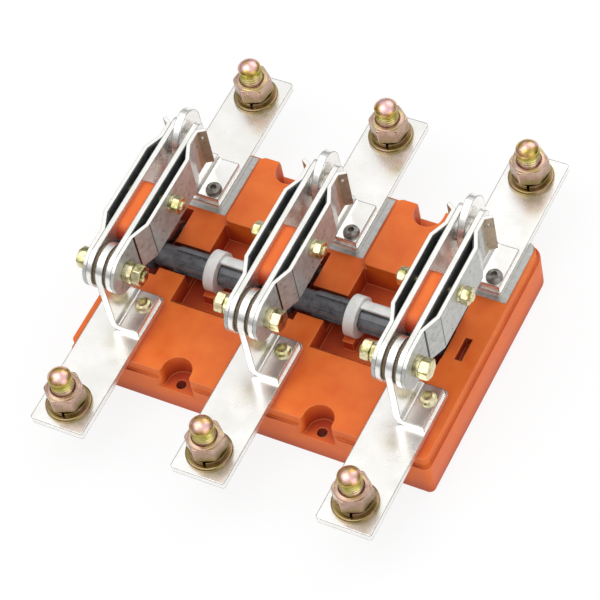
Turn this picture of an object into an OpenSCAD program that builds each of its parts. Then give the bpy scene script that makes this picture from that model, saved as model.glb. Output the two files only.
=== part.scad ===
// Open three-pole knife switch: twin blades swing on hinge brackets and close over jaw brackets,
// and one shaft in the base works all three poles through cranks and links.
// Millimetres, +Z up. The origin is the middle of the base underside, midway between the bar ends.
// The hinge ends of the poles point to -Y and the jaw ends to +Y. The switch is drawn closed.

/* [Poles] */
// Distance between the centre lines of neighbouring poles
pole_pitch = 80; // [70:1:110]
// Distance from the origin to the outer end of each terminal bar
bar_reach = 118.7; // [100:0.1:140]
// Width of the terminal bars
bar_w = 30; // [24:1:36]
// Thickness of the terminal bars
bar_t = 4; // [3:0.5:6]
// Inner end of the hinge-side bars, measured towards -Y
front_bar_inner = 30; // [28:1:40]
// Inner end of the jaw-side bars, measured towards +Y
back_bar_inner = 32; // [30:1:40]
// Radius of the bar corners
bar_corner_r = 1.5; // [0.5:0.5:4]

/* [Base] */
// Margin of the base beside the outer poles
base_margin = 21.5; // [20:0.5:30]
// Distance from the origin to the front face of the base
base_front = 70; // [66:1:80]
// Distance from the origin to the back face of the base
base_back = 72; // [70:1:80]
// Height of the seats that carry the bars
base_h = 27; // [24:1:32]
// Depth of the step above the skirt, below the seats
skirt_drop = 7; // [4:0.5:12]
// How far the skirt stands out beyond the upper part
skirt_step = 1.5; // [0.5:0.5:3]
// Corner radius at the front of the base
front_corner_r = 3; // [1:0.5:6]
// Corner radius at the back of the base
back_corner_r = 9; // [4:0.5:14]
// Height of the raised blocks between the jaws, above the seats
hump_h = 4; // [2:0.5:8]
// Gap between a raised block and the bar beside it
hump_gap = 6.5; // [6:0.5:10]
// Where the raised blocks begin, measured towards +Y
hump_start = 25; // [20:1:30]
// Where the raised blocks end, measured towards +Y
hump_end = 69; // [64:1:69]
// Corner radius of the raised blocks
hump_r = 3; // [1:0.5:6]
// Back wall of the shaft trough, measured towards +Y
trough_back = 6.5; // [5.5:0.5:10]
// Run of the sloping front wall of the trough
trough_slope = 8; // [4:0.5:10]
// Distance from a pole to the ends of the trough beside it
trough_side = 16.5; // [16:0.5:18]
// Thickness of the plates let into the base below the jaw-side bars
seat_t = 1.5; // [1:0.25:3]
// Reach of the seat plates to the right of a pole
seat_right = 18.5; // [17:0.5:18.5]
// Front end of the seat plates, measured towards +Y
seat_front = 30; // [29.5:0.5:31]
// Back end of the seat plates, measured towards +Y
seat_back = 70; // [60:0.5:70]
// Distance from the last pole to the slot beside the shaft end
clip_x = 8; // [6:0.5:12]
// Width of the slot beside the shaft end
clip_w = 4; // [3:0.5:6]
// Length of the slot beside the shaft end
clip_l = 14; // [8:0.5:18]
// Depth of the slot beside the shaft end
clip_depth = 6; // [3:0.5:10]

/* [Mounting] */
// Spacing of the mounting holes across the base
hole_pitch_x = 80; // [70:1:110]
// Spacing of the mounting holes from front to back
hole_pitch_y = 130; // [120:1:140]
// Diameter of the mounting holes
hole_d = 5.5; // [4:0.5:8]
// Radius of the notch around each mounting hole
notch_r = 8; // [6:0.5:10]
// Depth of the notch floors below the seats
notch_depth = 13; // [8:1:18]
// Corner radius at the mouth of the notches
mouth_r = 4; // [1:0.5:5]

/* [Blades] */
// Height of the blades
blade_h = 25; // [20:1:30]
// Thickness of each blade
blade_t = 3; // [2:0.5:5]
// Clear space between the two blades of a pole
blade_gap = 8; // [7:0.5:12]
// Tip of the blades, measured towards +Y
blade_tip = 46.5; // [40:0.5:52]
// Corner radius at the blade tips
tip_r = 5; // [2:0.5:10]
// Height of the hinge axis above the seats
pivot_rise = 43; // [38:1:50]
// Place of the hinge axis, measured towards -Y
pivot_y = 44; // [40:1:50]
// Radius of the contact boss on each blade at the hinge
hinge_boss_r = 9; // [6:0.5:11]
// Radius of the contact boss on each blade at the jaw
jaw_boss_r = 7; // [5:0.5:9]
// Place of the contact boss at the jaw, measured towards +Y
jaw_boss_y = 38; // [34:0.5:40]

/* [Bow springs] */
// Thickness of the bow springs
bow_t = 2; // [1:0.25:3]
// How far the bows stand off the blades
bow_rise = 4; // [2:0.5:6]
// Start of the front bend, measured towards -Y
bow_front_low = 32; // [30:0.5:36]
// End of the front bend, measured towards -Y
bow_front_high = 22; // [16:0.5:26]
// Start of the back bend, measured towards +Y
bow_back_high = 21; // [12:0.5:24]
// End of the back bend, measured towards +Y
bow_back_low = 30; // [26:0.5:32]
// Length of each bow that touches the blade near its tip
bow_land = 9.5; // [6:0.5:10]
// Tip of the bows, measured towards +Y
bow_tip = 42.5; // [41.5:0.5:45]
// How far the bow tips flare away from the blades
bow_flare = 4.5; // [2:0.5:5]
// Diameter of the hole in each flared bow tip
bow_hole_d = 2; // [1.5:0.5:2.5]
// Distance of that hole from the bow's top edge
bow_hole_edge = 5; // [4:0.5:6]

/* [Brackets] */
// Thickness of the bracket sheet
sheet_t = 4; // [3:0.5:5]
// Outer radius of the bracket folds
fold_r = 6; // [5:0.5:8]
// Reach of the bracket feet beside the pole centre
foot_reach = 14; // [12:0.5:15]
// Radius of the hinge bracket about the hinge axis
hinge_r = 12; // [10:0.5:12.5]
// Front edge of the jaw plate, measured towards +Y
jaw_front = 27.5; // [26:0.5:30]
// Back edge of the jaw plate, measured towards +Y
jaw_back = 52; // [51:0.5:60]
// Height of the jaw plate above the seats
jaw_rise = 63; // [60:0.5:70]
// Radius of the jaw plate's front top corner
jaw_nose_r = 17; // [10:0.5:18]
// Radius of the jaw plate's back top corner
jaw_heel_r = 12; // [2:0.5:12]
// Front end of the jaw foot, measured towards +Y
jaw_foot_front = 33; // [32:0.5:36]
// Back end of the jaw foot, measured towards +Y
jaw_foot_back = 58; // [50:0.5:70]

/* [Fasteners] */
// Thread diameter of the terminal bolts
stud_d = 12; // [10:1:12]
// Distance from the terminal bolts to the outer ends of the bars
stud_edge = 14.4; // [13:0.1:20]
// Length of the terminal bolts above the bars
stud_rise = 28; // [26:0.5:32]
// Width of the groove between the nut and the free end of a terminal bolt
groove_w = 1; // [0.5:0.25:2]
// Depth of that groove
groove_depth = 0.5; // [0.25:0.05:1]
// Radius of the rounded terminal bolt ends
stud_dome_r = 7; // [6.5:0.5:10]
// Width across flats of the terminal nuts
nut_af = 18; // [16:1:19]
// Thickness of the terminal nuts
nut_t = 10; // [8:0.5:11]
// Thickness of the terminal bolt heads
head_t = 7.5; // [5:0.5:8]
// Outer diameter of the flat washers
washer_d = 24; // [22:0.5:26]
// Thickness of the flat washers
washer_t = 2.5; // [1:0.25:3]
// Outer diameter of the spring washers
lock_d = 20; // [18:0.5:21]
// Thickness of the spring washers
lock_t = 3; // [2:0.1:3.5]
// Diameter of the hinge bolts
hinge_bolt_d = 6; // [5:1:8]
// Width across flats of the hinge bolts' heads and nuts
hinge_nut_af = 10; // [8:1:13]
// Thickness of the hinge bolts' nuts
hinge_nut_t = 5; // [4:0.5:6]
// Thickness of the hinge bolts' heads
hinge_head_t = 5; // [3:0.5:6]
// Thickness of the washers below the hinge bolts' heads
hinge_washer_t = 3; // [1:0.5:4]
// Outer diameter of the washers below the hinge bolts' heads
hinge_washer_d = 11; // [9:0.5:13]
// Length of thread standing out of the nuts
bolt_stub = 1.5; // [1:0.5:3]
// Diameter of the blade bolts
blade_bolt_d = 5; // [4:0.5:6]
// Width across flats of the blade bolts' nuts
blade_nut_af = 8.5; // [7:0.5:10]
// Thickness of the blade bolts' nuts
blade_nut_t = 4; // [3:0.5:5]
// Place of the blade bolts, measured towards -Y
blade_bolt_y = 1.5; // [0:0.5:4]
// Height of the blade bolts above the hinge axis
blade_bolt_rise = 5; // [3:0.5:6]
// Thickness of the washers below the blade bolt nuts
blade_washer_t = 2; // [1:0.5:3]
// Outer diameter of the washers below the blade bolt nuts, and of the flat blade bolt head
blade_washer_d = 9; // [8:0.5:12]
// Thickness of the flat head on the left pole's blade bolt
blade_head_t = 1; // [0.5:0.25:2]
// Diameter of the bar screws
screw_d = 5; // [4:0.5:6]
// Head diameter of the bar screws
screw_head_d = 9; // [8:0.5:10]
// Head height of the bar screws
screw_head_t = 3; // [2:0.5:4]
// Place of the bar screws beside the pole centre
screw_x = 9; // [8.5:0.5:9.5]
// Place of the bar screws, measured towards -Y
screw_y = 40; // [38:0.5:48]
// Depth of the bar screws below the seats
screw_depth = 12; // [8:0.5:16]

/* [Drive] */
// Diameter of the shaft over its ribs
shaft_d = 14; // [12:0.5:16]
// Place of the shaft axis, measured towards -Y
shaft_y = 2.5; // [2:0.5:5]
// Depth of the shaft axis below the seats
shaft_sink = 1; // [0:0.5:3]
// Reach of the shaft beyond the left pole
shaft_left = 10; // [9:0.5:11]
// Reach of the shaft beyond the right pole
shaft_right = 0; // [0:0.5:1]
// Distance from a pole to the ribbed lengths beside it
rib_start = 8; // [7:0.5:10]
// Number of ribs around the shaft
rib_count = 8; // [6:1:12]
// Depth of the grooves between the ribs
rib_depth = 1; // [0.5:0.25:1]
// Diameter of the shaft inside the collars
journal_d = 12; // [10:0.5:12]
// Outer diameter of the collars
collar_d = 22; // [20:0.5:24]
// Length of the collars
collar_l = 6; // [4:0.5:8]
// Distance from a pole to the middle of the collar beside it
collar_offset = 31; // [26:0.5:32]
// Distance from a pole to the far end of the sleeve beside its collar
sleeve_end = 58; // [50:0.5:60]
// Thickness of the sleeves
sleeve_t = 1.5; // [1:0.25:2]
// Length of the crank and blade arms along Y
arm_y = 20; // [18:0.5:20]
// Drop of the crank and blade arms
arm_drop = 4; // [3:0.5:5]
// Diameter of the pins at both ends of a link
pin_d = 5; // [4:0.5:6]
// Width of the links
link_w = 9; // [8:0.5:10]
// Thickness of the links
link_t = 3.2; // [3:0.1:3.3]
// Shift of the links and cranks to the left of the pole centre
link_shift = 2; // [1.9:0.1:2.1]
// Thickness of the crank cheeks
cheek_t = 3.6; // [3:0.1:5]
// Radius of the crank cheeks around the shaft
crank_hub_r = 9; // [8:0.5:11]
// Radius of the crank cheeks around the pin
crank_eye_r = 5; // [4.5:0.5:5.5]
// Front end of the drive blocks, measured towards -Y
block_front = 29; // [28.5:0.5:29.5]
// Back end of the drive blocks, measured towards +Y
block_back = 6; // [4:0.5:10]
// Height of the drive blocks, centred on the hinge axis
block_h = 20; // [18:0.5:23]
// Corner radius of the drive blocks
block_r = 6; // [2:0.5:8]

/* [Fits] */
// Radial clearance of parts that turn on a pin or in a bore
turn_clear = 0.05; // [0.02:0.01:0.1]
// Radial clearance of the link around the crank pin
crank_clear = 0.3; // [0.2:0.05:0.5]
// Side clearance of each contact boss to the plate between the blades
boss_clear = 0.1; // [0.05:0.05:0.3]
// Side clearance of a link in the drive block slot
slot_clear = 0.5; // [0.4:0.1:0.8]
// Side clearance of a link to its crank cheek
cheek_clear = 0.6; // [0.4:0.1:1]
// Clearance around the moving cranks
sweep_clear = 5; // [4:0.5:5]
// Clearance around the shaft below the poles and beside the links
shaft_clear = 2; // [1:0.5:2]
// Radial clearance of the sleeves around the shaft
sleeve_clear = 0.6; // [0.4:0.1:1]
// Radial clearance of the bolts in their holes
hole_clear = 0.1; // [0.05:0.05:0.3]

/* [Hidden] */

$fn = 64;
cut = 1;                                  // overrun of every cut
poles = [-pole_pitch, 0, pole_pitch];     // pole centre lines
bays = [-pole_pitch, 0];                  // poles with a neighbour on their right

base_half = pole_pitch + base_margin;
bar_top = base_h + bar_t;
foot_top = bar_top + sheet_t;
pivot_z = base_h + pivot_rise;
jaw_top = base_h + jaw_rise;
stud_top = bar_top + stud_rise;
shaft_z = base_h - shaft_sink;
notch_z = base_h - notch_depth;
stud_r = stud_d / 2;
stud_y = bar_reach - stud_edge;
hinge_bolt_r = hinge_bolt_d / 2;
blade_bolt_r = blade_bolt_d / 2;
pin_r = pin_d / 2;
shaft_r = shaft_d / 2;
journal_r = journal_d / 2;
collar_r = collar_d / 2;
blade_r = blade_h / 2;
blade_low = pivot_z - blade_r;
blade_in = blade_gap / 2;
blade_out = blade_in + blade_t;
bow_out = blade_out + bow_t;
bow_high = blade_out + bow_rise;
bow_wide = bow_high + bow_t;
boss_t = blade_in - sheet_t / 2 - boss_clear;
blade_bolt_z = pivot_z + blade_bolt_rise;
block_low = pivot_z - block_h / 2;
pin_y = -pivot_y + arm_y;                 // pin that joins a blade pair to its link
pin_z = pivot_z - arm_drop;
crank_pin_y = -shaft_y + arm_y;           // pin that joins a crank to its link
crank_pin_z = shaft_z - arm_drop;
slot_half = link_t / 2 + slot_clear;
cheek_in = link_shift + link_t / 2 + cheek_clear;
cheek_out = cheek_in + cheek_t;
trough_front = front_bar_inner - bar_corner_r;
trough_z = shaft_z - collar_r - shaft_clear / 2;
saddle_z = shaft_z - collar_r / 2;
channel_r = shaft_r + shaft_clear;
pit_left = cheek_out + sweep_clear;
pit_right = link_t / 2 - link_shift + shaft_clear;
pit_front = -shaft_y - crank_hub_r - sweep_clear;
pit_back = -shaft_y + norm([arm_y, arm_drop]) + crank_eye_r + sweep_clear;
pit_z = crank_pin_z - crank_eye_r - sweep_clear;
hump_in = bar_w / 2 + hump_gap;
sleeve_r = shaft_r + sleeve_clear;

// Path of a right-hand bow in plan, along the face that meets the blade
bow_path = [
    [blade_out, -pivot_y - blade_r],
    [blade_out, -bow_front_low],
    [bow_high, -bow_front_high],
    [bow_high, bow_back_high],
    [blade_out, bow_back_low],
    [blade_out, bow_back_low + bow_land],
    [blade_out + bow_flare, bow_tip]
];

function unit(v) = v / norm(v);
function right_of(v) = [v.y, -v.x];
// Point i of a path moved to the right by t, with the bends mitred
function beside(path, i, t) =
    let (before = unit(path[max(i, 1)] - path[max(i, 1) - 1]),
         after = unit(path[min(i + 1, len(path) - 1)] - path[min(i, len(path) - 2)]),
         lean = unit(right_of(before) + right_of(after)))
    path[i] + lean * t / (lean * right_of(before));

// Rectangle from corner lo to corner hi with round corners
module round_rect(lo, hi, r) {
    translate([lo.x + r, lo.y]) square([hi.x - lo.x - 2 * r, hi.y - lo.y]);
    translate([lo.x, lo.y + r]) square([hi.x - lo.x, hi.y - lo.y - 2 * r]);
    for (x = [lo.x + r, hi.x - r], y = [lo.y + r, hi.y - r])
        translate([x, y]) circle(r);
}

// What lies outside a round corner of radius r about the origin, towards +X and +Y
module corner_cut(r) {
    difference() {
        square(r + cut);
        circle(r);
    }
}

// Box from corner lo to corner hi
module block(lo, hi) {
    translate(lo) cube(hi - lo);
}

// Outline drawn in (Y, Z), as a plate from x0 to x1
module side_plate(x0, x1) {
    translate([x0, 0, 0])
        rotate([90, 0, 90])
            linear_extrude(x1 - x0) children();
}

// Round rod along X from x0 to x1 at height z and place y
module rod(x0, x1, y, z, r) {
    translate([x0, y, z])
        rotate([0, 90, 0])
            cylinder(r = r, h = x1 - x0);
}

// Hexagon prism along Z with the given width across flats
module hex(af, h) {
    cylinder(r = af / sqrt(3), h = h, $fn = 6);
}

// Hexagon along X from x0 to x0 + t
module side_hex(x0, t, y, z, af) {
    translate([x0, y, z]) rotate([0, 90, 0]) hex(af, t);
}

// Places children at both ends of all poles
module at_terminals() {
    for (x = poles, y = [-stud_y, stud_y]) translate([x, y, 0]) children();
}

module base_outline(inset) {
    x = base_half - inset;
    front = -base_front + inset;
    back = base_back - inset;
    difference() {
        round_rect([-x, front], [x, back], front_corner_r);
        for (side = [0, 1])
            mirror([side, 0])
                translate([x - back_corner_r, back - back_corner_r]) corner_cut(back_corner_r);
    }
}

module base_moulding() {
    color("orangered") difference() {
        union() {
            linear_extrude(base_h - skirt_drop) base_outline(0);
            linear_extrude(base_h) base_outline(skirt_step);
            for (x = bays)
                linear_extrude(base_h + hump_h)
                    round_rect([x + hump_in, hump_start], [x + pole_pitch - hump_in, hump_end], hump_r);
        }
        shaft_trough();
        for (x = poles)
            block([x - pit_left, pit_front, pit_z], [x + pit_right, pit_back, base_h + cut]);
        block([pole_pitch + clip_x, -shaft_y - clip_l / 2, base_h - clip_depth],
              [pole_pitch + clip_x + clip_w, -shaft_y + clip_l / 2, base_h + cut]);
        seats(base_h - seat_t, base_h + cut);
        mounting_notches();
        screw_holes(base_h - screw_depth, base_h + cut);
    }
}

// Troughs between the poles with saddles for the collars, joined by a channel below the poles
module shaft_trough() {
    for (x = bays) {
        seat_x = x + collar_offset - collar_l / 2;
        difference() {
            side_plate(x + trough_side, x + pole_pitch - trough_side)
                polygon([
                    [-trough_front - cut * trough_slope / (base_h - trough_z), base_h + cut],
                    [trough_slope - trough_front, trough_z],
                    [trough_back, trough_z],
                    [trough_back, base_h + cut]
                ]);
            block([seat_x, -shaft_y - collar_r - shaft_clear, trough_z - cut],
                  [seat_x + collar_l, trough_back + cut, saddle_z]);
        }
        rod(seat_x - cut, seat_x + collar_l + cut, -shaft_y, shaft_z, collar_r);
        block([x + hump_in, trough_back - cut, trough_z],
              [x + pole_pitch - hump_in, hump_start, base_h + hump_h + cut]);
    }
    block([-pole_pitch - shaft_left - shaft_clear, -shaft_y - channel_r, shaft_z - channel_r],
          [pole_pitch + shaft_right + shaft_clear, min(trough_back, channel_r - shaft_y), base_h + cut]);
}

// Plates below the jaw-side bars between two heights
module seats(z0, z1) {
    for (x = poles)
        block([x - bar_w / 2, seat_front, z0], [x + seat_right, seat_back, z1]);
}

module seat_plates() {
    color("gray") seats(base_h - seat_t, base_h);
}

// Open notches with the mounting holes at the front and back edges
module mounting_notches() {
    for (side_x = [0, 1], end = [-base_front, base_back]) {
        mouth = abs(end) - hole_pitch_y / 2;
        mirror([side_x, 0, 0]) mirror([0, end < 0 ? 1 : 0, 0])
            translate([hole_pitch_x / 2, hole_pitch_y / 2, 0]) {
                translate([0, 0, -cut]) cylinder(r = hole_d / 2, h = base_h);
                translate([0, 0, notch_z]) linear_extrude(base_h) {
                    circle(notch_r);
                    translate([-notch_r, 0]) square([2 * notch_r, mouth + cut]);
                    for (side = [0, 1])
                        mirror([side, 0])
                            translate([notch_r + mouth_r, mouth - mouth_r])
                                rotate(90) corner_cut(mouth_r);
                }
            }
    }
}

// Holes for the bar screws between two heights
module screw_holes(z0, z1) {
    for (x = poles)
        translate([x + screw_x, -screw_y, z0]) cylinder(r = screw_d / 2, h = z1 - z0);
}

module bar(x, y0, y1) {
    color("gainsboro") difference() {
        translate([0, 0, base_h])
            linear_extrude(bar_t)
                round_rect([x - bar_w / 2, y0], [x + bar_w / 2, y1], bar_corner_r);
        at_terminals()
            translate([0, 0, base_h - cut]) cylinder(r = stud_r + hole_clear, h = bar_t + 2 * cut);
        screw_holes(base_h - cut, bar_top + cut);
    }
}

module front_bar(x) { bar(x, -bar_reach, -front_bar_inner); }
module back_bar(x) { bar(x, back_bar_inner, bar_reach); }

// Section of an angle bracket in (X, Z) at its fold, with the foot towards +X
module fold_section() {
    half = sheet_t / 2;
    bend = fold_r - half;
    difference() {
        union() {
            translate([-half, 0]) square([sheet_t, fold_r + cut]);
            translate([-half, 0]) square([foot_reach + half, sheet_t]);
            translate([0, sheet_t / 2]) square([bend, fold_r - sheet_t / 2]);
        }
        translate([bend, fold_r]) circle(fold_r - sheet_t);
        translate([bend, fold_r]) rotate(180) corner_cut(fold_r);
    }
}

// Foot and fold of a bracket that stands on a bar, from y0 to y1
module angle_foot(x, y0, y1) {
    translate([x, y1, bar_top])
        rotate([90, 0, 0])
            linear_extrude(y1 - y0) fold_section();
}

module hinge_bracket(x) {
    color("silver") difference() {
        union() {
            angle_foot(x, -pivot_y - hinge_r, -pivot_y + hinge_r);
            side_plate(x - sheet_t / 2, x + sheet_t / 2) {
                translate([-pivot_y, pivot_z]) circle(hinge_r);
                translate([-pivot_y - hinge_r, bar_top + fold_r])
                    square([2 * hinge_r, pivot_z - bar_top - fold_r]);
            }
        }
        rod(x - sheet_t, x + sheet_t, -pivot_y, pivot_z, hinge_bolt_r + turn_clear);
        screw_holes(bar_top - cut, foot_top + cut);
    }
}

// Outline of the jaw plate in (Y, Z) with its large round nose
module jaw_outline() {
    low = bar_top + fold_r;
    difference() {
        translate([jaw_front, low]) square([jaw_back - jaw_front, jaw_top - low]);
        translate([jaw_front + jaw_nose_r, jaw_top - jaw_nose_r]) rotate(90) corner_cut(jaw_nose_r);
        translate([jaw_back - jaw_heel_r, jaw_top - jaw_heel_r]) corner_cut(jaw_heel_r);
    }
}

module jaw_bracket(x) {
    color("silver") {
        angle_foot(x, jaw_foot_front, jaw_foot_back);
        side_plate(x - sheet_t / 2, x + sheet_t / 2) jaw_outline();
    }
}

// Bolt with its head below the bar, a groove above the nut and a rounded free end
module terminal_bolts() {
    low = base_h - head_t;
    nut_top = bar_top + washer_t + lock_t + nut_t;
    color("khaki") at_terminals() {
        translate([0, 0, low]) hex(nut_af, head_t);
        difference() {
            translate([0, 0, low]) cylinder(r = stud_r, h = stud_top - low);
            translate([0, 0, nut_top])
                rotate_extrude()
                    translate([stud_r - groove_depth, 0]) square([groove_depth + cut, groove_w]);
            translate([0, 0, stud_top - stud_dome_r])
                rotate_extrude() corner_cut(stud_dome_r);
        }
    }
}

// Ring on a terminal bolt at height z
module stud_ring(z, t, d) {
    translate([0, 0, z])
        difference() {
            cylinder(r = d / 2, h = t);
            translate([0, 0, -cut]) cylinder(r = stud_r + hole_clear, h = t + 2 * cut);
        }
}

module flat_washers() {
    color("khaki") at_terminals() stud_ring(bar_top, washer_t, washer_d);
}

module spring_washers() {
    color("darkkhaki") at_terminals() stud_ring(bar_top + washer_t, lock_t, lock_d);
}

module terminal_nuts() {
    color("khaki") at_terminals()
        translate([0, 0, bar_top + washer_t + lock_t])
            difference() {
                hex(nut_af, nut_t);
                translate([0, 0, -cut]) cylinder(r = stud_r + hole_clear, h = nut_t + 2 * cut);
            }
}

module bar_screws() {
    color("khaki") for (x = poles)
        translate([x + screw_x, -screw_y, 0]) {
            translate([0, 0, foot_top]) cylinder(r = screw_head_d / 2, h = screw_head_t);
            translate([0, 0, base_h - screw_depth])
                cylinder(r = screw_d / 2, h = foot_top - base_h + screw_depth + screw_head_t / 2);
        }
}

// Collars that carry the shaft, each with a half sleeve over the back of the shaft beside it
module shaft_collars() {
    color("white") for (x = bays) {
        left = x + collar_offset - collar_l / 2;
        difference() {
            rod(left, left + collar_l, -shaft_y, shaft_z, collar_r);
            rod(left - cut, left + collar_l + cut, -shaft_y, shaft_z, journal_r + turn_clear);
        }
        difference() {
            rod(left + collar_l / 2, x + sleeve_end, -shaft_y, shaft_z, sleeve_r + sleeve_t);
            rod(left, x + sleeve_end + cut, -shaft_y, shaft_z, sleeve_r);
            block([left, -shaft_y - collar_d, shaft_z - collar_d],
                  [x + sleeve_end + cut, -shaft_y, shaft_z + collar_d]);
        }
    }
}

// Ribbed length of shaft from x0 to x1
module ribbed_rod(x0, x1) {
    difference() {
        rod(x0, x1, -shaft_y, shaft_z, shaft_r);
        for (i = [0 : rib_count - 1])
            translate([0, -shaft_y, shaft_z])
                rotate([i * 360 / rib_count, 0, 0])
                    block([x0 - cut, -rib_depth, shaft_r - rib_depth],
                          [x1 + cut, rib_depth, shaft_r + cut]);
    }
}

module shaft() {
    collar_gap = collar_l / 2 + cheek_clear;
    color("dimgray") {
        rod(-pole_pitch - shaft_left, pole_pitch + shaft_right, -shaft_y, shaft_z, journal_r);
        for (x = bays) {
            ribbed_rod(x + rib_start, x + collar_offset - collar_gap);
            ribbed_rod(x + collar_offset + collar_gap, x + pole_pitch - rib_start);
        }
    }
}

// Outline of a crank cheek in (Y, Z), tangent from the hub to the pin eye
module crank_outline() {
    reach = norm([arm_y, arm_drop]);
    lean = asin((crank_hub_r - crank_eye_r) / reach);
    translate([-shaft_y, shaft_z]) rotate(-atan2(arm_drop, arm_y)) {
        circle(crank_hub_r);
        translate([reach, 0]) circle(crank_eye_r);
        polygon([
            [crank_hub_r * sin(lean), crank_hub_r * cos(lean)],
            [reach + crank_eye_r * sin(lean), crank_eye_r * cos(lean)],
            [reach + crank_eye_r * sin(lean), -crank_eye_r * cos(lean)],
            [crank_hub_r * sin(lean), -crank_hub_r * cos(lean)]
        ]);
    }
}

module cranks() {
    color("dimgray") for (x = poles) {
        difference() {
            side_plate(x - cheek_out, x - cheek_in) crank_outline();
            rod(x - cheek_out - cut, x, -shaft_y, shaft_z, journal_r);
        }
        rod(x - cheek_out, x + cheek_clear + link_t / 2 - link_shift, crank_pin_y, crank_pin_z, pin_r);
    }
}

module blade_outline() {
    translate([-pivot_y, pivot_z]) circle(blade_r);
    translate([-pivot_y, blade_low]) square([blade_tip - tip_r + pivot_y, blade_h]);
    round_rect([0, blade_low], [blade_tip, blade_low + blade_h], tip_r);
}

module blades(x) {
    color("gainsboro") difference() {
        for (side = [0, 1])
            translate([x, 0, 0]) mirror([side, 0, 0]) {
                side_plate(blade_in, blade_out) blade_outline();
                rod(blade_in - boss_t, blade_in + blade_t / 2, -pivot_y, pivot_z, hinge_boss_r);
                rod(blade_in - boss_t, blade_in + blade_t / 2, jaw_boss_y, pivot_z, jaw_boss_r);
            }
        pole_holes(x);
    }
}

// Holes for the hinge bolt and the blade bolt through everything clamped on a pole
module pole_holes(x) {
    reach = bow_wide + cut;
    rod(x - reach, x + reach, -pivot_y, pivot_z, hinge_bolt_r + turn_clear);
    rod(x - reach, x + reach, -blade_bolt_y, blade_bolt_z, blade_bolt_r + hole_clear);
}

// Outline of a right-hand bow in plan, of even thickness
module bow_outline() {
    polygon(concat(bow_path, [for (i = [len(bow_path) - 1 : -1 : 0]) beside(bow_path, i, bow_t)]));
}

module bow_springs(x) {
    color("silver") difference() {
        for (side = [0, 1])
            translate([x, 0, 0]) mirror([side, 0, 0])
                difference() {
                    intersection() {
                        translate([0, 0, blade_low]) linear_extrude(blade_h) bow_outline();
                        side_plate(0, bow_wide + bow_flare) blade_outline();
                    }
                    bow_hole();
                }
        pole_holes(x);
    }
}

// Hole square through the flared tip of a right-hand bow, in the middle of its width
module bow_hole() {
    tip = bow_path[len(bow_path) - 1];
    bend = bow_path[len(bow_path) - 2];
    middle = (tip + bend) / 2;
    translate([middle.x, middle.y, blade_low + blade_h - bow_hole_edge])
        rotate([0, 90, -atan2(tip.x - bend.x, tip.y - bend.y)])
            cylinder(r = bow_hole_d / 2, h = 2 * (bow_t + cut), center = true);
}

module drive_block(x) {
    color("orangered") difference() {
        side_plate(x - blade_in, x + blade_in)
            round_rect([-block_front, block_low], [block_back, block_low + block_h], block_r);
        block([x - link_shift - slot_half, -block_front - cut, block_low - cut],
              [x - link_shift + slot_half, -blade_bolt_y - blade_bolt_d, pin_z + link_w / 2 + slot_clear * 2]);
        rod(x - bow_wide, x + bow_wide, pin_y, pin_z, pin_r);
        pole_holes(x);
    }
}

module drive_pin(x) {
    color("silver") rod(x - blade_in, x + blade_in, pin_y, pin_z, pin_r);
}

// Washer and nut at the right-hand end of a blade bolt, with the bolt from the middle of the pole
module blade_bolt_nut() {
    nut_x = bow_wide + blade_washer_t;
    rod(-blade_in, nut_x + blade_nut_t + bolt_stub, -blade_bolt_y, blade_bolt_z, blade_bolt_r);
    rod(bow_wide, nut_x, -blade_bolt_y, blade_bolt_z, blade_washer_d / 2);
    side_hex(nut_x, blade_nut_t, -blade_bolt_y, blade_bolt_z, blade_nut_af);
}

// Blade bolt with a nut on the right, and a nut or a flat head on the left
module blade_bolt(x, nut_left) {
    color("khaki") translate([x, 0, 0]) {
        blade_bolt_nut();
        if (nut_left) {
            mirror([1, 0, 0]) blade_bolt_nut();
        } else {
            rod(-bow_wide - blade_head_t / 2, 0, -blade_bolt_y, blade_bolt_z, blade_bolt_r);
            rod(-bow_wide - blade_head_t, -bow_wide, -blade_bolt_y, blade_bolt_z, blade_washer_d / 2);
        }
    }
}

// Hinge bolt with its head and washer on one side and two nuts on the other
module hinge_bolt(x, nuts_left) {
    head_x = bow_out + hinge_washer_t;
    nut_end = bow_out + 2 * hinge_nut_t;
    color("khaki") translate([x, 0, 0]) mirror([nuts_left ? 1 : 0, 0, 0]) {
        rod(-head_x, nut_end + bolt_stub, -pivot_y, pivot_z, hinge_bolt_r);
        rod(-head_x, -bow_out, -pivot_y, pivot_z, hinge_washer_d / 2);
        side_hex(-head_x - hinge_head_t, hinge_head_t, -pivot_y, pivot_z, hinge_nut_af);
        side_hex(bow_out, hinge_nut_t, -pivot_y, pivot_z, hinge_nut_af);
        side_hex(bow_out + hinge_nut_t, hinge_nut_t, -pivot_y, pivot_z, hinge_nut_af);
    }
}

module drive_link(x) {
    dy = crank_pin_y - pin_y;
    dz = crank_pin_z - pin_z;
    color("silver") difference() {
        side_plate(x - link_shift - link_t / 2, x - link_shift + link_t / 2)
            translate([pin_y, pin_z]) rotate(atan2(dz, dy)) {
                circle(link_w / 2);
                translate([norm([dy, dz]), 0]) circle(link_w / 2);
                translate([0, -link_w / 2]) square([norm([dy, dz]), link_w]);
            }
        rod(x - bow_wide, x + bow_wide, pin_y, pin_z, pin_r + turn_clear);
        rod(x - bow_wide, x + bow_wide, crank_pin_y, crank_pin_z, pin_r + crank_clear);
    }
}

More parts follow.
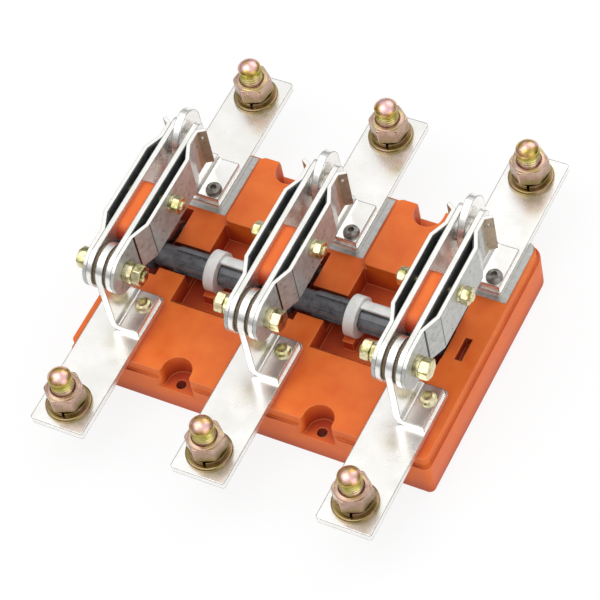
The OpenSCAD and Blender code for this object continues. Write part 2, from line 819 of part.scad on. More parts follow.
base_moulding();
seat_plates();
front_bar(poles[0]);  // front_bar_1
front_bar(poles[1]);  // front_bar_2
front_bar(poles[2]);  // front_bar_3
back_bar(poles[0]);  // back_bar_1
back_bar(poles[1]);  // back_bar_2
back_bar(poles[2]);  // back_bar_3
hinge_bracket(poles[0]);  // hinge_bracket_1
hinge_bracket(poles[1]);  // hinge_bracket_2
hinge_bracket(poles[2]);  // hinge_bracket_3
jaw_bracket(poles[0]);  // jaw_bracket_1
jaw_bracket(poles[1]);  // jaw_bracket_2
jaw_bracket(poles[2]);  // jaw_bracket_3
terminal_bolts();
terminal_nuts();
spring_washers();
flat_washers();
bar_screws();
shaft_collars();
shaft();
cranks();
blades(poles[0]);  // blades_1
blades(poles[1]);  // blades_2
blades(poles[2]);  // blades_3
bow_springs(poles[0]);  // bow_springs_1
bow_springs(poles[1]);  // bow_springs_2
bow_springs(poles[2]);  // bow_springs_3
drive_block(poles[0]);  // drive_block_1
drive_block(poles[1]);  // drive_block_2
drive_block(poles[2]);  // drive_block_3
drive_pin(poles[0]);  // drive_pin_1
drive_pin(poles[1]);  // drive_pin_2
drive_pin(poles[2]);  // drive_pin_3
blade_bolt(poles[0], false);  // blade_bolt_1
blade_bolt(poles[1], true);  // blade_bolt_2
blade_bolt(poles[2], true);  // blade_bolt_3
hinge_bolt(poles[0], false);  // hinge_bolt_1
hinge_bolt(poles[1], true);  // hinge_bolt_2
hinge_bolt(poles[2], true);  // hinge_bolt_3
drive_link(poles[0]);  // drive_link_1
drive_link(poles[1]);  // drive_link_2
drive_link(poles[2]);  // drive_link_3
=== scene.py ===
import math

import bmesh
import bpy
from mathutils import Matrix, Vector


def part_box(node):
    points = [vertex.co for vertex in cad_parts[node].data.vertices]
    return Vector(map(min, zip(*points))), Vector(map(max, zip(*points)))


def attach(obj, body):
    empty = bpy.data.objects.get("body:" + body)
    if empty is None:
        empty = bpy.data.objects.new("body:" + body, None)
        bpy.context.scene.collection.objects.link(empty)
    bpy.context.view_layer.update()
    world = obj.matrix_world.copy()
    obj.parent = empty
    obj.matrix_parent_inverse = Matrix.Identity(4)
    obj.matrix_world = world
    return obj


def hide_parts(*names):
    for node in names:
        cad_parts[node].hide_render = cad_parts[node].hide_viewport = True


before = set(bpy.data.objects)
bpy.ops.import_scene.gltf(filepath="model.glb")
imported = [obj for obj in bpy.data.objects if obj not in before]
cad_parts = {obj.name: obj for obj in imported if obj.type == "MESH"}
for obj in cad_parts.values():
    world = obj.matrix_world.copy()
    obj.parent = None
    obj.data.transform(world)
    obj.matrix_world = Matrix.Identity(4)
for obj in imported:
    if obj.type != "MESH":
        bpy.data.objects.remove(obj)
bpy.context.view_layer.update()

# Base: a thick moulding of orange glass-filled polyester, pressed hot in a steel mould. It carries the whole
# switch and is screwed to a panel; the drive blocks between the blades are moulded from the same compound.
MM = 0.001
POLES = {"1": -80 * MM, "2": 0.0, "3": 80 * MM}


def linear(code):
    """Linear RGBA of an sRGB hex colour."""
    parts = [int(code[i:i + 2], 16) / 255 for i in (1, 3, 5)]
    return [c / 12.92 if c <= 0.04045 else ((c + 0.055) / 1.055) ** 2.4 for c in parts] + [1.0]


def add_node(tree, kind, inputs=None, stops=(), **fields):
    """Adds a shader node with its fields; each input gets a value or is linked to a socket.

    stops are the (place, hex colour) pairs of a colour ramp, in rising order.
    """
    node = tree.nodes.new(kind)
    for name, value in fields.items():
        setattr(node, name, value)
    for name, value in (inputs or {}).items():
        if isinstance(value, bpy.types.NodeSocket):
            tree.links.new(value, node.inputs[name])
        else:
            node.inputs[name].default_value = value
    for place, _ in stops[1:-1]:
        node.color_ramp.elements.new(place)
    for i, (place, code) in enumerate(stops):
        node.color_ramp.elements[i].position = place
        node.color_ramp.elements[i].color = linear(code)
    return node


def mottled_material(name, edge, blotch, tones, gloss=None, detail=3.0, **values):
    """A material with edges rounded by edge, whose tone and roughness vary over blotches about blotch wide.

    tones are (place, hex colour) stops, gloss the range of roughness and values the shader's other inputs.
    Returns the material, its node tree, its shader and the noise that makes the blotches.
    """
    made = bpy.data.materials.new(name)
    made.use_nodes = True
    tree = made.node_tree
    shader = tree.nodes["Principled BSDF"]
    for key, value in values.items():
        shader.inputs[key.replace("_", " ")].default_value = value
    rounded = add_node(tree, "ShaderNodeBevel", {"Radius": edge}, samples=6)
    tree.links.new(rounded.outputs["Normal"], shader.inputs["Normal"])
    place = add_node(tree, "ShaderNodeTexCoord")
    noise = add_node(tree, "ShaderNodeTexNoise",
                     {"Vector": place.outputs["Object"], "Scale": 1 / blotch, "Detail": detail})
    tone = add_node(tree, "ShaderNodeValToRGB", {"Fac": noise.outputs["Fac"]}, tones)
    tree.links.new(tone.outputs["Color"], shader.inputs["Base Color"])
    if gloss:
        rough = add_node(tree, "ShaderNodeMapRange",
                         {"Value": noise.outputs["Fac"], "From Min": 0.3, "From Max": 0.7,
                          "To Min": gloss[0], "To Max": gloss[1]})
        tree.links.new(rough.outputs["Result"], shader.inputs["Roughness"])
    return made, tree, shader, noise


def paint_edge_shading(tree, shader, code):
    """Paints light and shade along the edges: blends a colour in where the rounded normal leaves the flat
    one, a paler colour as a painted highlight and a darker one as painted shade.
    """
    flat = add_node(tree, "ShaderNodeNewGeometry")
    turn = add_node(tree, "ShaderNodeVectorMath",
                    {0: tree.nodes["Bevel"].outputs["Normal"], 1: flat.outputs["Normal"]},
                    operation="DOT_PRODUCT")
    share = add_node(tree, "ShaderNodeMapRange",
                     {"Value": turn.outputs["Value"], "From Min": 0.82, "From Max": 0.985,
                      "To Min": 1.0, "To Max": 0.0})
    face = shader.inputs["Base Color"].links[0].from_socket
    edge_painted = add_node(tree, "ShaderNodeMix", {0: share.outputs["Result"], 6: face, 7: linear(code)},
                      data_type="RGBA")
    tree.links.new(edge_painted.outputs[2], shader.inputs["Base Color"])


def paint(made, slot, *names):
    """Gives CAD nodes a material."""
    for name in names:
        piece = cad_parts[name]
        piece.data.materials.clear()
        piece.data.materials.append(made)


# To the eye it is a satin orange, uneven where the compound flowed. Painted shade makes it redder in the
# hollows and a painted highlight makes it paler along the edges. The grain of the mould is finer than a
# pixel, so its pores are drawn coarser, at 0.9 mm.
orange, orange_tree, orange_shader, _ = mottled_material(
    "hot pressed orange glass polyester", 1.0 * MM, 14 * MM, [(0.3, "#DE6118"), (0.7, "#EA7428")],
    (0.44, 0.58), Specular_IOR_Level=0.4)
# Painted shade: the orange turns deep red where ambient occlusion finds nearby faces closing the surface in.
painted_shade_ao = add_node(orange_tree, "ShaderNodeAmbientOcclusion", {"Distance": 16 * MM}, samples=8)
unshaded_share = add_node(orange_tree, "ShaderNodeMapRange",
                    {"Value": painted_shade_ao.outputs["AO"], "From Min": 0.35, "From Max": 0.85})
orange_with_painted_shade = add_node(orange_tree, "ShaderNodeMix",
                    {0: unshaded_share.outputs["Result"], 6: linear("#AE3A1E"),
                     7: orange_shader.inputs["Base Color"].links[0].from_socket}, data_type="RGBA")
orange_tree.links.new(orange_with_painted_shade.outputs[2], orange_shader.inputs["Base Color"])
pores = add_node(orange_tree, "ShaderNodeTexNoise",
                 {"Vector": orange_tree.nodes["Texture Coordinate"].outputs["Object"],
                  "Scale": 1 / (0.9 * MM), "Detail": 3.0})
grain = add_node(orange_tree, "ShaderNodeBump",
                 {"Height": pores.outputs["Fac"], "Distance": 0.03 * MM,
                  "Normal": orange_tree.nodes["Bevel"].outputs["Normal"]})
orange_tree.links.new(grain.outputs["Normal"], orange_shader.inputs["Normal"])
# Painted highlight: a paler orange blended in along the rounded edges.
paint_edge_shading(orange_tree, orange_shader, "#F0904E")
paint(orange, "orange_moulding", "base_moulding", *("drive_block_" + key for key in POLES))


# Seat plates: sheared from zinc-plated steel sheet and let into the base below the jaw-side bars. The outer
# back corner of the right-hand plate is cut round along the corner of the base.
def take_verts(bm, before):
    """The vertices that were added since before was kept."""
    return [v for v in bm.verts if v not in before]


def make_piece(name, bm, made, slot, body, *nodes):
    """Closes a bmesh into a piece that rides on a body and stands for the CAD nodes named."""
    bmesh.ops.recalc_face_normals(bm, faces=bm.faces)
    mesh = bpy.data.meshes.new(name)
    bm.to_mesh(mesh)
    bm.free()
    mesh.materials.append(made)
    piece = bpy.data.objects.new(name, mesh)
    bpy.context.scene.collection.objects.link(piece)
    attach(piece, body)
    if nodes:
        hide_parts(*nodes)


# Plated without brightener, the sheet looks flat grey with a faint spangle and no clear reflection.
seat_sheet, *_ = mottled_material("dull zinc plated sheet", 0.3 * MM, 3 * MM,
                                  [(0.35, "#A9AAA8"), (0.65, "#BFC0BE")], (0.38, 0.55), Metallic=1.0)
seat_low, seat_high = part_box("seat_plates")
seat_width, seat_shift = 33.5 * MM, 1.75 * MM
seat_corner, seat_rim = 7 * MM, 0.2 * MM
seat_bm = bmesh.new()
for key, x in POLES.items():
    before = set(seat_bm.verts)
    middle = Vector((x + seat_shift, (seat_low[1] + seat_high[1]) / 2, (seat_low[2] + seat_high[2]) / 2))
    size = Matrix.Diagonal((seat_width, seat_high[1] - seat_low[1], seat_high[2] - seat_low[2], 1))
    bmesh.ops.create_cube(seat_bm, size=1.0, matrix=Matrix.Translation(middle) @ size)
    if key == "3":
        outer = [v for v in take_verts(seat_bm, before) if v.co.x > middle.x and v.co.y > middle.y]
        corner = [e for e in outer[0].link_edges if e.other_vert(outer[0]) in outer]
        bmesh.ops.bevel(seat_bm, geom=corner, offset=seat_corner, affect="EDGES", segments=6, profile=0.5,
                        material=-1)
    rim = {e for v in take_verts(seat_bm, before) for e in v.link_edges if e.calc_face_angle() > 1.2}
    bmesh.ops.bevel(seat_bm, geom=list(rim), offset=seat_rim, affect="EDGES", segments=1, profile=0.5,
                    material=-1)
make_piece("trimmed_seat_plates", seat_bm, seat_sheet, "steel", "base", "seat_plates")

# Bars, brackets and blades: sheared and folded from cold-rolled copper strip and plated with bright tin. The
# bars lie on the base, the brackets are screwed down on them and the blades hang on the hinge bolts.
plated_kinds = ("front_bar_", "back_bar_", "hinge_bracket_", "jaw_bracket_", "blades_")

# To the eye the tin is a cloudy bright mirror, with painted shade darkening it along its edges. The rolling
# lines below it are finer than a pixel, so they are drawn coarser, 1.2 mm apart.
plated, plated_tree, plated_shader, _ = mottled_material(
    "bright tin plated copper", 0.9 * MM, 16 * MM, [(0.3, "#F1EFE9"), (0.7, "#FBFAF8")], (0.2, 0.32),
    Metallic=0.9)
lengthwise = add_node(plated_tree, "ShaderNodeMapping",
                      {"Vector": plated_tree.nodes["Texture Coordinate"].outputs["Object"],
                       "Scale": (1, 0.06, 1)})
rolled = add_node(plated_tree, "ShaderNodeTexNoise",
                  {"Vector": lengthwise.outputs["Vector"], "Scale": 1 / (1.2 * MM), "Detail": 3.0})
lines = add_node(plated_tree, "ShaderNodeBump",
                 {"Height": rolled.outputs["Fac"], "Distance": 0.008 * MM,
                  "Normal": plated_tree.nodes["Bevel"].outputs["Normal"]})
plated_tree.links.new(lines.outputs["Normal"], plated_shader.inputs["Normal"])
# Painted shade: a dark grey-brown blended in along the rounded edges of the tin.
paint_edge_shading(plated_tree, plated_shader, "#5C5549")
paint(plated, "plated_copper", *(kind + key for kind in plated_kinds for key in POLES))

# Bow springs: cut from spring steel strip, bent cold and nickel plated, and pressed against the blades by the
# blade bolts. They stand on edge, so their sheared edges face up.
spring_start, spring_end = -40 * MM, 45 * MM
# Multipliers along the strip: none, painted shade at the bends, and a painted warm reflection on the flared
# tips.
plain, painted_bend_shade, painted_tip_reflection = "#FFFFFF", "#3A3A3A", "#E8CFB2"

# The satin nickel looks greyer than the tin, with handling marks. Painted shade draws the bends as dark lines
# across the strip, a painted reflection makes the flared tips warmer, a painted highlight makes the upturned
# sheared edges paler and painted shade darkens the rounded edges.
spring, spring_tree, spring_shader, _ = mottled_material(
    "nickel plated spring steel", 0.4 * MM, 3 * MM, [(0.35, "#A9ABA8"), (0.65, "#C0C2BF")], (0.26, 0.42),
    Metallic=0.35)
spring_place = spring_tree.nodes["Texture Coordinate"]
across = add_node(spring_tree, "ShaderNodeSeparateXYZ", {"Vector": spring_place.outputs["Object"]})
strip = add_node(spring_tree, "ShaderNodeMapRange",
                 {"Value": across.outputs["Y"], "From Min": spring_start, "From Max": spring_end})
# Painted shade: dark lines across the strip at the bends. Painted reflection: a warm brown on the flared
# tips.
bend_and_tip_ramp = add_node(spring_tree, "ShaderNodeValToRGB", {"Fac": strip.outputs["Result"]},
                  [(0.0, plain), (0.0897, painted_bend_shade), (0.0985, plain), (0.2074, painted_bend_shade), (0.2176, plain),
                   (0.871, painted_tip_reflection)])
bend_and_tip_ramp.color_ramp.interpolation = "CONSTANT"
bend_and_tip_painted = add_node(spring_tree, "ShaderNodeMix",
                   {0: 1.0, 6: spring_shader.inputs["Base Color"].links[0].from_socket,
                    7: bend_and_tip_ramp.outputs["Color"]}, data_type="RGBA", blend_type="MULTIPLY")
# Painted highlight: faces that turn upward, the sheared edges on top, are paler.
facing = add_node(spring_tree, "ShaderNodeSeparateXYZ", {"Vector": spring_place.outputs["Normal"]})
lit_top_mask = add_node(spring_tree, "ShaderNodeMath", {0: facing.outputs["Z"], 1: 0.7}, operation="GREATER_THAN")
top_highlighted = add_node(spring_tree, "ShaderNodeMix",
                   {0: lit_top_mask.outputs["Value"], 6: bend_and_tip_painted.outputs[2], 7: linear("#EDECE8")},
                   data_type="RGBA")
spring_tree.links.new(top_highlighted.outputs[2], spring_shader.inputs["Base Color"])
# Painted shade: a dark grey blended in along the rounded edges of the nickel.
paint_edge_shading(spring_tree, spring_shader, "#6B675F")
paint(spring, "plated_spring", *("bow_springs_" + key for key in POLES))

# Gap shade sheets: dark strips, 0.3 mm thick, set on the faces that blades and bows turn to each other. They
# are painted shade for the gaps between blade and bow, not parts of the switch.
# They are matt and flecked dark grey, so the gap between the strips stays dark beside the bright metal.
gap_shade, *_ = mottled_material("dark sheet painting gap shade", 0.1 * MM, 2 * MM,
                             [(0.35, "#3C3F3E"), (0.65, "#545856")], (0.55, 0.75))
gap_shade_thickness = 0.3 * MM
blade_gap_path = [(7.2, -30.5), (7.2, 28.5)]
bow_gap_path = [(8.4, -27.6), (10.8, -21.6), (10.8, 20.6), (8.6, 25.4)]
blade_low, blade_high = (v[2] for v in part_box("blades_1"))
gap_shade_low, gap_shade_high = blade_low + 0.8 * MM, blade_high - 0.5 * MM
for key, x in POLES.items():
    bm = bmesh.new()
    for side in (1, -1):
        for path in (blade_gap_path, bow_gap_path):
            points = [bm.verts.new((x + side * px * MM, py * MM, gap_shade_low)) for px, py in path]
            edges = [bm.edges.new(pair) for pair in zip(points, points[1:])]
            raised = bmesh.ops.extrude_edge_only(bm, edges=edges)["geom"]
            tops = [v for v in raised if isinstance(v, bmesh.types.BMVert)]
            bmesh.ops.translate(bm, verts=tops, vec=(0, 0, gap_shade_high - gap_shade_low))
    bmesh.ops.recalc_face_normals(bm, faces=bm.faces)
    bmesh.ops.solidify(bm, geom=bm.faces[:], thickness=gap_shade_thickness)
    make_piece("gap_shade_sheets_" + key, bm, gap_shade, "black_plastic", "pole_" + key)


# Hinge gap rings: dark rings over the contact bosses, between the round ends of blades and bracket. They are
# painted shade for the gaps there, not parts of the switch.
def add_turned(bm, profile, place, steps=40):
    """Turns a profile of (radius, height) points in millimetres about Z, then moves it to its place."""
    before = set(bm.verts)
    points = [bm.verts.new((r * MM, 0, z * MM)) for r, z in profile]
    outline = [bm.edges.new(pair) for pair in zip(points, points[1:])]
    bmesh.ops.spin(bm, geom=points + outline, cent=(0, 0, 0), axis=(0, 0, 1), angle=2 * math.pi,
                   steps=steps, use_merge=True)
    bmesh.ops.remove_doubles(bm, verts=take_verts(bm, before), dist=1e-6)
    bmesh.ops.transform(bm, matrix=place, verts=take_verts(bm, before))


# Their matt edge shows as a dark line of painted shade between the bright round ends.
hinge_gap_shade, *_ = mottled_material("dark ring painting hinge gap shade", 0.1 * MM, 2 * MM,
                             [(0.35, "#5E4F3C"), (0.65, "#77664E")], (0.55, 0.75))
hinge_y, hinge_z = -44 * MM, 70 * MM
hinge_gap_ring = [(9.3, 2.4), (11.4, 2.4), (11.4, 3.7), (9.3, 3.7), (9.3, 2.4)]
for key, x in POLES.items():
    bm = bmesh.new()
    for side in (1, -1):
        outward = Matrix.Rotation(side * math.pi / 2, 4, "Y")
        add_turned(bm, hinge_gap_ring, Matrix.Translation((x, hinge_y, hinge_z)) @ outward, steps=56)
    make_piece("hinge_gap_shade_rings_" + key, bm, hinge_gap_shade, "black_plastic", "pole_" + key)


# Terminal bolts: M12 steel bolts pushed up through the bars from below, with a forged hexagon head, a rolled
# thread and a rounded end, plated with zinc and passivated yellow.
def add_hex(bm, across_flats, thickness, place):
    """A hexagon from height 0, in millimetres, with its corners chamfered at both ends."""
    before = set(bm.verts)
    radius = across_flats * MM / math.sqrt(3)
    upright = Matrix.Translation((0, 0, thickness * MM / 2)) @ Matrix.Rotation(math.pi / 2, 4, "Z")
    bmesh.ops.create_cone(bm, cap_ends=True, segments=6, radius1=radius, radius2=radius,
                          depth=thickness * MM, matrix=upright)
    bmesh.ops.bevel(bm, geom=take_verts(bm, before), offset=across_flats * MM * 0.11, affect="VERTICES",
                    segments=2, profile=0.5, material=-1)
    sharp = {e for v in take_verts(bm, before) for e in v.link_edges}
    bmesh.ops.bevel(bm, geom=list(sharp), offset=0.25 * MM, affect="EDGES", segments=1, profile=0.5,
                    material=-1)
    bmesh.ops.transform(bm, matrix=place, verts=take_verts(bm, before))


def threaded(radius, depth, pitch, low, high):
    """Profile points of thread ridges between two heights, in millimetres."""
    points = []
    for i in range(int((high - low) / pitch)):
        z = low + i * pitch
        points += [(radius - depth, z), (radius - depth, z + 0.15 * pitch),
                   (radius, z + 0.45 * pitch), (radius, z + 0.7 * pitch)]
    return points


def dome(radius, ball, top, count=8):
    """Profile points of a rounded end of the given ball radius, from its edge to the axis."""
    angles = [math.asin(radius / ball) * (1 - i / count) for i in range(count)]
    return [(ball * math.sin(a), top - ball + ball * math.cos(a)) for a in angles] + [(0, top)]


# The thick passivation is a glossy film whose colour runs from brown over yellow and olive to pink going up
# the bolt, and varies in blotches.
rainbow, rainbow_tree, rainbow_shader, film = mottled_material(
    "thick yellow passivated zinc", 0.35 * MM, 5 * MM,
    [(0.22, "#8E7C50"), (0.4, "#AC8C7C"), (0.55, "#C6A896"), (0.68, "#D8CA80"), (0.8, "#A09638"),
     (0.92, "#D2A866"), (1.0, "#E9BCB8")], (0.2, 0.34), detail=2.0, Metallic=1.0)
film_place = add_node(rainbow_tree, "ShaderNodeSeparateXYZ",
                      {"Vector": rainbow_tree.nodes["Texture Coordinate"].outputs["Object"]})
film_height = add_node(rainbow_tree, "ShaderNodeMapRange",
                       {"Value": film_place.outputs["Z"], "From Min": 38 * MM, "From Max": 66 * MM})
tone_up_the_bolt = add_node(rainbow_tree, "ShaderNodeMath",
                      {0: film.outputs["Fac"], 1: 0.5, 2: film_height.outputs["Result"]},
                      operation="MULTIPLY_ADD")
film_tones = rainbow_shader.inputs["Base Color"].links[0].from_node
rainbow_tree.links.new(tone_up_the_bolt.outputs["Value"], film_tones.inputs["Fac"])
terminal_y, terminal_flats, head_height = 104.3 * MM, 18, 7.5
TERMINALS = [(x, y) for x in POLES.values() for y in (-terminal_y, terminal_y)]
bar_low, bar_high = (v[2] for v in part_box("front_bar_1"))
nut_low, nut_high = (v[2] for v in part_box("terminal_nuts"))
stud_top = (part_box("terminal_bolts")[1][2] - bar_low) / MM
thread_low, thread_high = (nut_high - bar_low) / MM - 2, stud_top - 3.4
stud = [(0, 0), (6, 0)] + threaded(6, 0.55, 1.75, thread_low, thread_high) + dome(6, 7, stud_top)
bolts_bm = bmesh.new()
for x, y in TERMINALS:
    add_turned(bolts_bm, stud, Matrix.Translation((x, y, bar_low)))
    add_hex(bolts_bm, terminal_flats, head_height, Matrix.Translation((x, y, bar_low - head_height * MM)))
make_piece("rounded_terminal_bolts", bolts_bm, rainbow, "yellow_zinc", "base", "terminal_bolts")

# Terminal nuts: M12 hexagon nuts of 18 mm across flats, cold-formed from steel, plated like the bolts and
# screwed down on the spring washers. Their corners are chamfered and a turned ring is left on top.
nut_height = (nut_high - nut_low) / MM - 0.4
nut_turn = Matrix.Rotation(math.radians(22), 4, "Z")
nut_ring = [(5.9, 9.2), (8.3, 9.4), (8.1, 9.8), (6.7, 10), (5.9, 9.2)]
nuts_bm = bmesh.new()
for x, y in TERMINALS:
    at = Matrix.Translation((x, y, nut_low))
    add_hex(nuts_bm, terminal_flats, nut_height, at @ nut_turn)
    add_turned(nuts_bm, nut_ring, at)
make_piece("chamfered_terminal_nuts", nuts_bm, rainbow, "yellow_zinc", "base", "terminal_nuts")

# Spring washers: rings coiled from square spring steel wire and plated yellow, lying below the nuts. Each is
# split once, and its ends stand half a millimetre apart.
lock_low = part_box("spring_washers")[0][2]
lock_wire = [(6.2, 0), (9.8, 0), (9.8, 2.5), (6.2, 2.5)]
lock_steps, lock_rise = 44, 0.5 * MM
lock_sweep, lock_turn = math.radians(352), Matrix.Rotation(math.radians(-70), 4, "Z")
locks_bm = bmesh.new()
for x, y in TERMINALS:
    before = set(locks_bm.verts)
    wire = [locks_bm.verts.new((r * MM, 0, z * MM)) for r, z in lock_wire]
    outline = [locks_bm.edges.new(pair) for pair in zip(wire, wire[1:] + wire[:1])]
    bmesh.ops.spin(locks_bm, geom=wire + outline, cent=(0, 0, 0), axis=(0, 0, 1), angle=lock_sweep,
                   steps=lock_steps, dvec=(0, 0, lock_rise / lock_steps))
    bmesh.ops.holes_fill(locks_bm, edges=[e for e in locks_bm.edges if e.is_boundary], sides=4)
    bmesh.ops.transform(locks_bm, verts=take_verts(locks_bm, before),
                        matrix=Matrix.Translation((x, y, lock_low)) @ lock_turn)
make_piece("split_spring_washers", locks_bm, rainbow, "yellow_zinc", "base", "spring_washers")

# Flat washers: rings of 24 mm stamped from steel sheet and plated yellow, lying on the bars. The stamping
# has rolled their upper edge over.
flat_ring = [(6.3, 0), (12, 0), (12, 1.7), (11.6, 2.3), (11, 2.5), (6.3, 2.5), (6.3, 0)]
washers_bm = bmesh.new()
for x, y in TERMINALS:
    add_turned(washers_bm, flat_ring, Matrix.Translation((x, y, bar_high)), steps=56)
make_piece("rolled_flat_washers", washers_bm, rainbow, "yellow_zinc", "base", "flat_washers")

# Bar screws: M5 button-head screws of steel with a socket, cold-headed and plated with zinc. They hold the
# hinge feet and the bars down on the base.
# The passivation is thinner than on the terminal bolts: a glossy pale yellow with olive and tan blotches.
zinc, *_ = mottled_material(
    "pale yellow passivated zinc", 0.35 * MM, 5 * MM,
    [(0.32, "#8F8C5C"), (0.45, "#CEC592"), (0.55, "#E9E2BC"), (0.68, "#CCB890")], (0.2, 0.34), detail=2.0,
    Metallic=1.0)
screw_x, screw_y = 9 * MM, -40 * MM
foot_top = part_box("bar_screws")[1][2] - 3 * MM
button_top = [(0, 1.2), (1.5, 1.2), (1.7, 3), (2.6, 2.9), (3.8, 2.2)]
bar_screw = button_top + [(4.5, 0.9), (4.5, 0), (2.5, 0), (2.5, -16), (0, -16.4)]
screws_bm = bmesh.new()
for x in POLES.values():
    add_turned(screws_bm, bar_screw, Matrix.Translation((x + screw_x, screw_y, foot_top)))
make_piece("button_head_screws", screws_bm, zinc, "yellow_zinc", "base", "bar_screws")

# Jaw screws: the same screws, which hold the jaw feet down at their front ends.
# Only the heads stand above the feet.
# Their dark grey half-shine with lighter patches is painted shade at the front ends of the jaw feet.
jaw_screw_shade, *_ = mottled_material("dark grey screw steel with painted shade", 0.2 * MM, 2 * MM,
                             [(0.35, "#6E6B66"), (0.65, "#A29E97")], (0.3, 0.5), Metallic=0.8)
jaw_screw_x, jaw_screw_y = 9.5 * MM, 38 * MM
jaw_screw = button_top + [(4.4, 0.9), (4.4, 0), (0, -0.4)]
jaw_screws_bm = bmesh.new()
for x in POLES.values():
    add_turned(jaw_screws_bm, jaw_screw, Matrix.Translation((x + jaw_screw_x, jaw_screw_y, foot_top)))
make_piece("jaw_screws", jaw_screws_bm, jaw_screw_shade, "steel", "base")

# Collars: two bearings moulded from white nylon, pressed into saddles in the base, with a half sleeve over
# the shaft.
# Light goes a little way into the nylon, so it looks softly white, with a slight haze and soft edges.
nylon, *_ = mottled_material("moulded white nylon", 0.6 * MM, 6 * MM, [(0.3, "#DCDDDC"), (0.7, "#F1F2F1")],
                             Roughness=0.4, Subsurface_Weight=0.3, Subsurface_Scale=2 * MM)
paint(nylon, "white_nylon", "shaft_collars")

# Shaft and cranks: moulded in one piece from black glass-filled nylon, ribbed along the shaft and turning in
# the collars.
# The moulded skin has a dull shine on dark grey, uneven where the glass lies near the surface.
black, *_ = mottled_material("moulded black glass filled nylon", 0.5 * MM, 5 * MM,
                             [(0.3, "#54565A"), (0.7, "#74777C")], (0.24, 0.38))
paint(black, "black_plastic", "shaft", "cranks")

# Links and drive pins: flat links cut from bright steel strip and pins cut from drawn rod, pushed through the
# drive blocks.
# Drawing leaves plain grey metal with a soft shine and faint marks.
steel, *_ = mottled_material("drawn bright steel", 0.3 * MM, 2 * MM, [(0.3, "#A8A8A6"), (0.7, "#C2C2C0")],
                             (0.28, 0.42), Metallic=1.0)
paint(steel, "steel", *(kind + key for kind in ("drive_pin_", "drive_link_") for key in POLES))

# Blade bolts: M5 steel bolts, plated like the bar screws, that press the bows together, with washers and nuts
# on both sides. The left pole's bolt has a flat head on its outer side.
thread_end = threaded(2.5, 0.3, 0.8, 17.5, 20) + [(2.2, 20.2), (1.8, 20.5), (0, 20.5)]
flat_head = [(2.5, 13), (4.5, 13), (4.4, 13.6), (3.6, 14), (0, 14)]
blade_washers = [(2.6, 13), (4.5, 13), (4.5, 14), (4.1, 14.3), (4.1, 15), (2.6, 15), (2.6, 13)]
blade_nut_flats, blade_nut_height, blade_nut_low = 8.5, 4, 15 * MM
for key, x in POLES.items():
    low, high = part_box("blade_bolt_" + key)
    middle = Matrix.Translation((x, (low[1] + high[1]) / 2, (low[2] + high[2]) / 2))
    left_end, nut_sides = (flat_head, (1,)) if key == "1" else (thread_end, (1, -1))
    bm = bmesh.new()
    add_turned(bm, [(r, -z) for r, z in reversed(left_end)] + thread_end,
               middle @ Matrix.Rotation(math.pi / 2, 4, "Y"), steps=24)
    for side in nut_sides:
        along = middle @ Matrix.Rotation(side * math.pi / 2, 4, "Y")
        add_turned(bm, blade_washers, along)
        add_hex(bm, blade_nut_flats, blade_nut_height, along @ Matrix.Translation((0, 0, blade_nut_low)))
    make_piece("threaded_blade_bolt_" + key, bm, zinc, "yellow_zinc", "pole_" + key, "blade_bolt_" + key)

# Hinge bolts: M6 steel bolts that the blades turn on, plated pale yellow, with the head and a thick washer on
# one side and two nuts locked against each other on the other side.
hinge_flats, hinge_head, hinge_nut = 10, 5, 4.9
head_low, nut_place, lock_place = -17 * MM, 9 * MM, 14.1 * MM
lock_nut_turn = Matrix.Rotation(0.35, 4, "Z")
thick_washer = [(0, -12), (5.2, -12), (5.5, -11.7), (5.5, -9), (0, -9)]
hinge_stud = ([(0, -12), (3, -12)] + threaded(3, 0.35, 1, 17, 20.1)
              + [(2.6, 20.2), (2.1, 20.5), (0, 20.5)])
for key, x in POLES.items():
    low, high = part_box("hinge_bolt_" + key)
    nut_side = 1 if high[0] - x > x - low[0] else -1
    along = (Matrix.Translation((x, (low[1] + high[1]) / 2, (low[2] + high[2]) / 2))
             @ Matrix.Rotation(nut_side * math.pi / 2, 4, "Y"))
    bm = bmesh.new()
    add_hex(bm, hinge_flats, hinge_head, along @ Matrix.Translation((0, 0, head_low)))
    add_turned(bm, thick_washer, along)
    add_hex(bm, hinge_flats, hinge_nut, along @ Matrix.Translation((0, 0, nut_place)))
    add_hex(bm, hinge_flats, hinge_nut, along @ Matrix.Translation((0, 0, lock_place)) @ lock_nut_turn)
    add_turned(bm, hinge_stud, along, steps=24)
    make_piece("threaded_hinge_bolt_" + key, bm, zinc, "yellow_zinc", "pole_" + key, "hinge_bolt_" + key)

# Stage: a white paper floor that the camera and the metal see as plain white, soft light from above and
# the camera at the angle of the photograph.
floor_bm = bmesh.new()
bmesh.ops.create_grid(floor_bm, x_segments=1, y_segments=1, size=3.0)
floor_mesh = bpy.data.meshes.new("floor")
floor_bm.to_mesh(floor_mesh)
floor_bm.free()
floor = bpy.data.objects.new("floor", floor_mesh)
bpy.context.scene.collection.objects.link(floor)
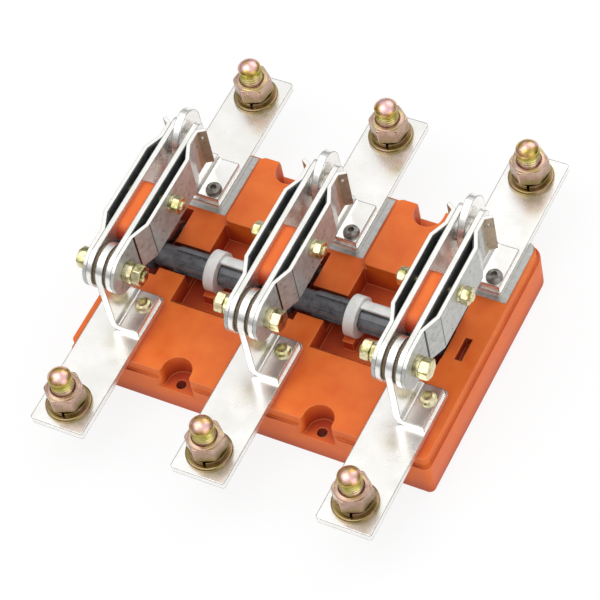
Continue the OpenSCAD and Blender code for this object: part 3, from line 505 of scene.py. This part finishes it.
# The paper glows for the rays that look at it, so it stays white in the picture and still takes soft shadows.
paper_glow = 0.85
paper = bpy.data.materials.new("rolled white paper")
paper.use_nodes = True
paper_tree = paper.node_tree
matt = paper_tree.nodes["Principled BSDF"]
matt.inputs["Base Color"].default_value = linear("#F2F2F2")
matt.inputs["Roughness"].default_value = 0.9
ray = add_node(paper_tree, "ShaderNodeLightPath")
seen = ray.outputs["Is Camera Ray"]
for kind in ("Is Glossy Ray", "Is Transmission Ray"):
    either = add_node(paper_tree, "ShaderNodeMath", {0: seen, 1: ray.outputs[kind]}, operation="MAXIMUM")
    seen = either.outputs["Value"]
share = add_node(paper_tree, "ShaderNodeMath", {0: seen, 1: paper_glow}, operation="MULTIPLY")
glow = add_node(paper_tree, "ShaderNodeEmission", {"Color": linear("#FFFFFF"), "Strength": 1.0})
mixed = add_node(paper_tree, "ShaderNodeMixShader",
                 {0: share.outputs["Value"], 1: matt.outputs["BSDF"], 2: glow.outputs["Emission"]})
paper_tree.links.new(mixed.outputs["Shader"], paper_tree.nodes["Material Output"].inputs["Surface"])
floor_mesh.materials.append(paper)

world = bpy.data.worlds.new("studio")
bpy.context.scene.world = world
world.use_nodes = True
sky_tree = world.node_tree
sky_place = add_node(sky_tree, "ShaderNodeTexCoord")
sky_height = add_node(sky_tree, "ShaderNodeSeparateXYZ", {"Vector": sky_place.outputs["Generated"]})
sky = add_node(sky_tree, "ShaderNodeValToRGB", {"Fac": sky_height.outputs["Z"]},
               [(0.0, "#505052"), (0.7, "#FFFFFF")])
sky_tree.links.new(sky.outputs["Color"], sky_tree.nodes["Background"].inputs["Color"])
sky_tree.nodes["Background"].inputs["Strength"].default_value = 0.97

lit_point = Vector((0, 0, 0.04))
for name, where, size, power in (("key", (-0.5, -0.4, 1.4), 1.4, 8.0), ("back", (0.3, 1.2, 1.0), 1.2, 4.6),
                                 ("side", (1.3, -0.5, 0.5), 1.2, 4.2)):
    lamp = bpy.data.lights.new(name, "AREA")
    lamp.size = size
    lamp.energy = power
    stand = bpy.data.objects.new(name, lamp)
    stand.location = where
    stand.rotation_euler = (lit_point - Vector(where)).to_track_quat("-Z", "Y").to_euler()
    bpy.context.scene.collection.objects.link(stand)

azimuth, elevation, roll = math.radians(38.0), math.radians(53.53), math.radians(-14.3)
view_point, distance = Vector((-0.47, -4.30, 27.0)) * MM, 1.5004
back = Vector((math.sin(azimuth) * math.cos(elevation), -math.cos(azimuth) * math.cos(elevation),
               math.sin(elevation)))
level = Vector((math.cos(azimuth), math.sin(azimuth), 0))
right = level * math.cos(roll) + back.cross(level) * math.sin(roll)
lens = bpy.data.cameras.new("camera")
lens.lens = 177.9
lens.clip_end = 20
camera = bpy.data.objects.new("camera", lens)
view = Matrix((right, back.cross(right), back)).transposed().to_4x4()
view.translation = view_point + back * distance
camera.matrix_world = view
bpy.context.scene.collection.objects.link(camera)
bpy.context.scene.camera = camera
bpy.context.scene.view_settings.view_transform = "Standard"
